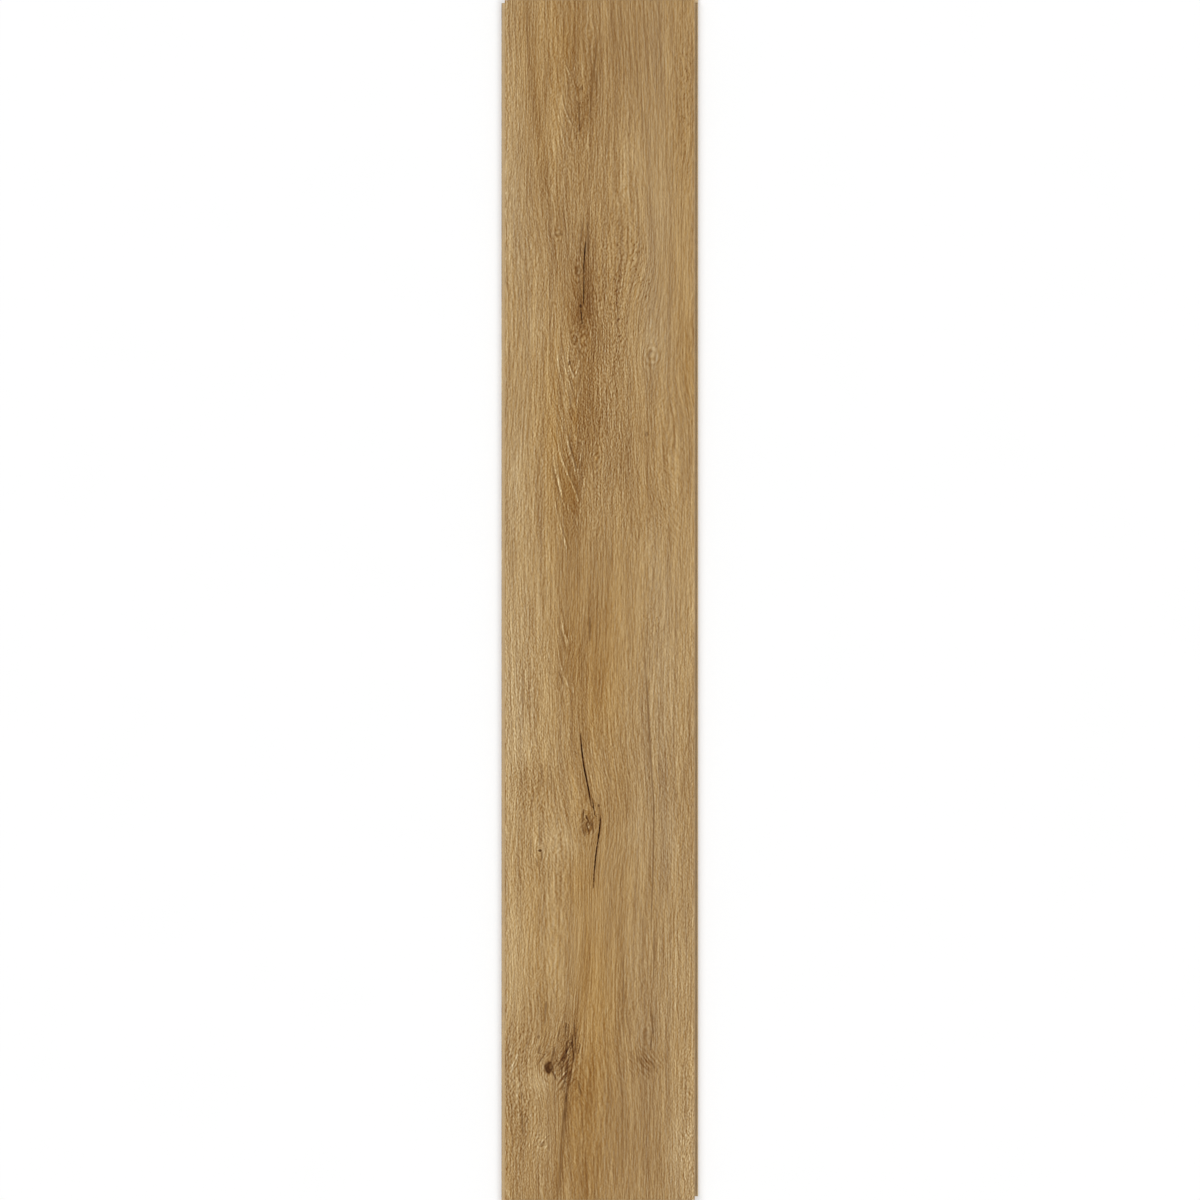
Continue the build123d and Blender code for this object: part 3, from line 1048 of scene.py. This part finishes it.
class Graph:
    """The node tree of a new material or world, built from wires."""

    def __init__(self, owner):
        owner.use_nodes = True
        self.owner = owner
        self.tree = owner.node_tree
        self.tree.nodes.clear()

    def node(self, kind, inputs=None, **settings):
        """Adds a node with its settings, and feeds its inputs with wires or plain values."""
        made = self.tree.nodes.new(kind)
        for name, value in settings.items():
            setattr(made, name, value)
        for name, value in (inputs or {}).items():
            if isinstance(value, Wire):
                self.tree.links.new(value.socket, made.inputs[name])
            else:
                made.inputs[name].default_value = value
        return made

    def out(self, made, name=0):
        """One of a node's outputs."""
        return Wire(self, made.outputs[name])

    def math(self, operation, *values):
        """A number worked out from others."""
        return self.out(self.node("ShaderNodeMath", dict(enumerate(values)), operation=operation))

    def vector(self, operation, *values):
        """A vector worked out from others, number by number."""
        return self.out(self.node("ShaderNodeVectorMath", dict(enumerate(values)), operation=operation))

    def combine(self, x, y, z):
        """A vector of three numbers."""
        return self.out(self.node("ShaderNodeCombineXYZ", {"X": x, "Y": y, "Z": z}))

    def length(self, x, y):
        """The length of a vector in the plane."""
        made = self.node("ShaderNodeVectorMath", {0: self.combine(x, y, 0.0)}, operation="LENGTH")
        return self.out(made, "Value")

    def attribute(self, name):
        """What the mesh's vertices hold under that name."""
        return self.out(self.node("ShaderNodeAttribute", attribute_name=name), "Fac")

    def place(self):
        """The point's own place in millimetres, as three wires."""
        coordinates = self.node("ShaderNodeTexCoord")
        split = self.node("ShaderNodeSeparateXYZ", {0: self.out(coordinates, "Object")})
        return [self.out(split, axis) / MM for axis in ("X", "Y", "Z")]

    def noise(self, x, y, z, detail=1.0, roughness=0.5):
        """Random values about 0, within a half either way, that change over a step of 1."""
        made = self.node(
            "ShaderNodeTexNoise",
            {"Vector": self.combine(x, y, z), "Scale": 1.0, "Detail": detail, "Roughness": roughness},
        )
        return self.out(made, "Fac") - 0.5

    def grain(self, layer, across, along, detail=1.0, roughness=0.5):
        """Noise in cells of the layer's width and length."""
        width, length, depth = layer
        return self.noise(across / width, along / length, depth, detail, roughness)

    def streaks(self, layer, across, along):
        """Random values about 0 that are sharp across: noise less the same noise a little further on."""
        width, length, depth = layer
        x = across / width
        y = along / length
        return self.noise(x, y, depth, 0.0) - self.noise(x + STREAK_SHIFT, y, depth, 0.0)

    def ease(self, value, low, high):
        """0 below low, 1 above high and smooth between them. Low may be the greater."""
        made = self.node(
            "ShaderNodeMapRange",
            {"Value": value, "From Min": low, "From Max": high},
            interpolation_type="SMOOTHSTEP",
        )
        return self.out(made, "Result")

    def dashes(self, layer, across, along):
        """Short marks of the layer's size, one in its share of its cells."""
        width, length, share, size = layer
        made = self.node(
            "ShaderNodeTexVoronoi",
            {"Vector": self.combine(across / width, along / length, 0.0), "Scale": 1.0},
            voronoi_dimensions="2D",
        )
        split = self.node("ShaderNodeSeparateColor", {0: self.out(made, "Color")})
        chosen = self.math("GREATER_THAN", self.out(split, "Red"), 1 - share)
        strength = self.out(split, "Green") * (1 - FAINTEST_DASH) + FAINTEST_DASH
        return self.ease(self.out(made, "Distance"), size, size * DASH_CORE) * chosen * strength

    def stepped(self, start, amount, step):
        """A colour with an amount of steps added to it."""
        return self.vector("MULTIPLY_ADD", self.combine(amount, amount, amount), step, start)

    def colour(self, middle, tone, warmth, shade=None):
        """The middle colour with steps of tone and warmth added, then shaded, as the screen shows it."""
        shown = [level / LEVELS for level in middle]
        shown = self.stepped(shown, tone, [step / LEVELS for step in TONE_STEP])
        shown = self.stepped(shown, warmth, [step / LEVELS for step in WARMTH_STEP])
        if shade is not None:
            shown = self.vector("MULTIPLY", shown, self.stepped((1, 1, 1), shade, SHADE_STEP))
            shown = self.vector("MAXIMUM", shown, DARKEST)
        return self.out(self.node("ShaderNodeGamma", {"Color": shown, "Gamma": SCREEN_GAMMA}))

    def surface(self, shader, output="ShaderNodeOutputMaterial"):
        """Makes a shader node the tree's surface, and returns the material or world."""
        made = self.node(output)
        self.tree.links.new(shader.outputs[0], made.inputs["Surface"])
        return self.owner

    def finish(self, colour, roughness, height, specular):
        """A material of that colour and roughness, with its fine relief given in millimetres."""
        bump = self.node("ShaderNodeBump", {"Height": height, "Strength": 1.0, "Distance": MM})
        shader = self.node(
            "ShaderNodeBsdfPrincipled",
            {
                "Base Color": colour,
                "Roughness": roughness,
                "Specular IOR Level": specular,
                "Normal": self.out(bump),
            },
        )
        return self.surface(shader)


def oak_decor():
    """The printed and embossed oak of the face."""
    graph = Graph(bpy.data.materials.new("oak_decor"))
    x, y, _ = graph.place()
    across = x + FACE_WIDTH / 2
    down = FACE_LENGTH / 2 - y
    fibre = graph.attribute("fibre")
    rings = graph.attribute("rings")
    ring_strength = graph.attribute("ring_strength")
    open_pores = graph.attribute("open_pores")
    lively = graph.attribute("lively")
    curl = graph.attribute("curl")
    # Streaks along the fibres, from broad to fine
    slide = down + graph.grain(SLIDE, fibre, down) * SLIDE_REACH
    drift = down + graph.grain(DRIFT, fibre, down) * DRIFT_REACH
    broad = graph.grain(BROAD, fibre, slide, 0.0)
    middling = graph.grain(MIDDLING, fibre, slide, 0.0)
    narrow = graph.streaks(NARROW, fibre, slide)
    short = graph.streaks(SHORT, fibre, drift)
    fine = graph.streaks(FINE, fibre, drift)
    coarse = graph.streaks(COARSE, fibre, drift)
    specks = graph.streaks(SPECKS, fibre, drift)
    tint = graph.streaks(TINT, fibre, drift)
    # In the figure the fine streaks follow the rings
    follow = graph.ease(ring_strength, *FOLLOWING)
    narrow += (graph.streaks(RING_NARROW, rings, slide) - narrow) * follow
    short += (graph.streaks(RING_SHORT, rings, drift) - short) * follow
    # Growth rings: a pale line outside each, and a brown band that fades inwards
    phase = (rings + graph.grain(RAGGED, fibre, slide) * RAGGED_REACH) % 1.0
    pale_line = graph.ease(phase, *PALE_LINE)
    brown_band = graph.ease(phase, *BROWN_BAND)
    figure = pale_line * PALE_LINE_TONE - brown_band * BROWN_BAND_TONE + FIGURE_TONE
    tone = graph.attribute("tone") + figure * ring_strength
    # The grain, stronger where it is lively and weaker in the figure
    calm = graph.ease(abs(curl), *CALM)
    strokes = graph.ease(fine, *STROKE) - 0.5
    long_strokes = graph.ease(short, *LONG_STROKE) - 0.5
    grit = long_strokes * LONG_STROKE_TONE + strokes * STROKE_TONE + coarse * COARSE_TONE
    tone += broad * BROAD_TONE + middling * MIDDLING_TONE + narrow * (calm * CALM_TONE + NARROW_TONE)
    tone += grit * lively * (1 - follow * FIGURE_CALM)
    tone += specks * SPECK_TONE * graph.math("MAXIMUM", (lively - 1) * SPECK_GAIN + 1, FEWEST_SPECKS)
    # Pores, and open pits with a painted highlight on their right rim, as if lit from the left
    pores = graph.dashes(DARK_PORES, fibre, slide)
    deep_pores = pores * (open_pores + 1)
    flecks = graph.dashes(PALE_FLECKS, fibre + FLECK_SHIFT, slide)
    wavy = fibre + specks * WAVY_REACH
    pits = graph.dashes(PITS, wavy, drift)
    pit_highlights = graph.dashes(PITS, wavy - PIT_HIGHLIGHT_SHIFT, drift)
    tone += flecks * FLECK_TONE - deep_pores * PORE_TONE
    tone += (pit_highlights * PIT_HIGHLIGHT_TONE - pits * PIT_TONE) * open_pores
    # Short marks across the fibres
    slashes = graph.streaks(
        SLASHES, across * CURL_COS + down * CURL_SIN, down * CURL_COS - across * CURL_SIN
    )
    backslashes = graph.streaks(
        BACKSLASHES, across * CURL_COS - down * CURL_SIN, down * CURL_COS + across * CURL_SIN
    )
    tone += slashes * graph.math("MAXIMUM", curl, 0.0) * CURL_TONE
    tone += backslashes * graph.math("MAXIMUM", curl * -1, 0.0) * CURL_TONE
    # Cracks and fine lines, a little ragged, each fine line with painted light beside it on its right, as
    # if lit from the left
    shades = []
    broken = graph.math("MAXIMUM", 1 + specks + fine * LINE_BREAKS, 0.0)
    for name in LINE_SETS:
        offset, step, painted_side_step = [graph.attribute(name + part) for part in LINE_PARTS]
        offset += short * LINE_SWAY + specks * LINE_RAG
        # The second pass paints light beside the line: painted shadow where negative, painted highlight
        # where positive
        for aside, strength in ((offset, step), (offset - PAINTED_LIGHT_ASIDE, painted_side_step)):
            stroke = graph.ease(abs(aside), *LINE_EDGE) * broken
            shades.append(stroke * graph.math("MINIMUM", strength, 0.0))
            tone += stroke * graph.math("MAXIMUM", strength, 0.0) * PALE_TONE
    # Knots, with rings round them
    for name in KNOT_SETS:
        right, below, step, ring_step = [graph.attribute(name + part) for part in KNOT_PARTS]
        radius = graph.length(right, below) + (short + fine) * KNOT_RAG
        shades.append(graph.ease(radius, *KNOT_EDGE) * step)
        tone += graph.math("SINE", radius * KNOT_RING_PACE) * graph.ease(radius, *KNOT_RINGS) * ring_step
    shade = sum(shades)
    warmth = graph.attribute("warmth") + broad * BROAD_WARMTH + middling * MIDDLING_WARMTH
    warmth += brown_band * ring_strength * BROWN_BAND_WARMTH + tint * TINT_WARMTH
    roughness = DECOR_ROUGHNESS - narrow * NARROW_GLOSS + pores * PORE_ROUGHNESS
    height = (narrow + short) * STREAK_HEIGHT - deep_pores * PORE_DEPTH
    colour = graph.colour(OAK, tone, warmth, shade)
    return graph.finish(colour, roughness, height, shade * DECOR_SPECULAR + DECOR_SPECULAR)


def fibreboard():
    """The milled edges: pressed fibres, with the decor's edge above and the backing's below."""
    graph = Graph(bpy.data.materials.new("fibreboard"))
    x, y, z = graph.place()
    fibres = graph.noise(x * FIBRES_ALONG, y * FIBRES_ALONG, z * FIBRES_UP, FIBRE_DETAIL, FIBRE_ROUGHNESS)
    clouds = graph.noise(x * CLOUDS_ALONG, y * CLOUDS_ALONG, z * CLOUDS_UP)
    dense = graph.ease(abs(z - THICKNESS / 2), *DENSE_CRUST)
    tone = fibres * FIBRE_TONE + clouds * CLOUD_TONE + dense * CRUST_TONE
    tone += graph.ease(z, *DECOR_EDGE) * DECOR_EDGE_TONE
    tone += graph.ease(z, *BACKING_EDGE) * BACKING_EDGE_TONE
    colour = graph.colour(FIBREBOARD, tone, clouds * CLOUD_WARMTH)
    roughness = EDGE_ROUGHNESS + fibres * EDGE_ROUGHNESS_STEP
    return graph.finish(colour, roughness, fibres * EDGE_HEIGHT, EDGE_SPECULAR)


def backing():
    """The underside's backing sheet: smooth paper with a faint cloudy fibre."""
    graph = Graph(bpy.data.materials.new("backing"))
    x, y, _ = graph.place()
    fibres = graph.grain(PAPER_FIBRES, x, y, FIBRE_DETAIL, FIBRE_ROUGHNESS)
    clouds = graph.grain(PAPER_CLOUDS, x, y, PAPER_CLOUD_DETAIL)
    rollers = graph.grain(PAPER_ROLLERS, x, y)
    tone = fibres * PAPER_FIBRE_TONE + clouds * PAPER_CLOUD_TONE + rollers * PAPER_ROLLER_TONE
    colour = graph.colour(PAPER, tone, clouds * PAPER_CLOUD_WARMTH)
    roughness = PAPER_ROUGHNESS + fibres * PAPER_ROUGHNESS_STEP
    return graph.finish(colour, roughness, fibres * PAPER_HEIGHT, PAPER_SPECULAR)


def make_plank():
    """The dressed plank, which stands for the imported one."""
    mesh = board_mesh(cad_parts["plank"])
    dress_face(mesh)
    mesh.materials.clear()
    for material in (oak_decor(), fibreboard(), backing()):
        mesh.materials.append(material)
    decor, edges, underside = range(len(mesh.materials))
    for polygon in mesh.polygons:
        if polygon.use_smooth:
            polygon.material_index = decor
        elif polygon.normal.z < FACING_DOWN and polygon.center.z < UNDERSIDE * MM:
            polygon.material_index = underside
        else:
            polygon.material_index = edges
    plank = bpy.data.objects.new("plank_board", mesh)
    bpy.context.scene.collection.objects.link(plank)
    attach(plank, "root")
    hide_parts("plank")


def white_to_eye(graph, seen_strength, lit_strength):
    """A strength that camera, glossy and transmission rays see, with another for what lights."""
    path = graph.node("ShaderNodeLightPath")
    seen = graph.math("MAXIMUM", graph.out(path, "Is Camera Ray"), graph.out(path, "Is Glossy Ray"))
    seen = graph.math("MAXIMUM", seen, graph.out(path, "Is Transmission Ray"))
    return seen * (seen_strength - lit_strength) + lit_strength


def make_floor():
    """A wide pale floor that the plank lies on, white to the eye and with the plank's shadow."""
    graph = Graph(bpy.data.materials.new("pale_floor"))
    x, y, _ = graph.place()
    grey = graph.grain(FLOOR_MOTTLE, x, y, FLOOR_DETAIL) * FLOOR_GREY_STEP + FLOOR_GREY
    diffuse = graph.node("ShaderNodeBsdfDiffuse", {"Color": graph.combine(grey, grey, grey)})
    strength = white_to_eye(graph, FLOOR_GLOW, 0.0)
    glow = graph.node("ShaderNodeEmission", {"Color": WHITE, "Strength": strength})
    both = graph.node("ShaderNodeAddShader", {0: graph.out(diffuse), 1: graph.out(glow)})
    bpy.ops.mesh.primitive_plane_add(size=FLOOR_SIZE * MM, location=(0, 0, -FLOOR_GAP * MM))
    floor = bpy.context.object
    floor.name = "floor"
    floor.data.materials.append(graph.surface(both))


def make_light():
    """Soft light from two sides, stronger from the left, in a pale surrounding."""
    graph = Graph(bpy.data.worlds.new("studio"))
    strength = white_to_eye(graph, 1.0, WORLD_LEVEL)
    background = graph.node("ShaderNodeBackground", {"Color": WHITE, "Strength": strength})
    bpy.context.scene.world = graph.surface(background, "ShaderNodeOutputWorld")
    for name, level, turn in (("key_light", KEY_LEVEL, KEY_TURN), ("fill_light", FILL_LEVEL, FILL_TURN)):
        lamp = bpy.data.lights.new(name, "SUN")
        lamp.angle = math.radians(LIGHT_SPREAD)
        lamp.energy = level * math.pi / math.cos(math.radians(LIGHT_TILT))
        sun = bpy.data.objects.new(name, lamp)
        sun.rotation_euler = (math.radians(-LIGHT_TILT), 0, math.radians(turn))
        bpy.context.scene.collection.objects.link(sun)


def make_camera():
    """Looks straight down on the face from far off, with the face's length filling the frame."""
    lens = bpy.data.cameras.new("camera")
    lens.lens = LENS
    lens.sensor_width = SENSOR
    lens.clip_end = FARTHEST_SEEN * MM
    height = THICKNESS + FRAME_HEIGHT * LENS / SENSOR
    camera = bpy.data.objects.new("camera", lens)
    camera.location = (FRAME_SHIFT * MM, 0, height * MM)
    bpy.context.scene.collection.objects.link(camera)
    bpy.context.scene.camera = camera


bpy.context.scene.view_settings.view_transform = "Standard"
make_plank()
make_floor()
make_light()
make_camera()
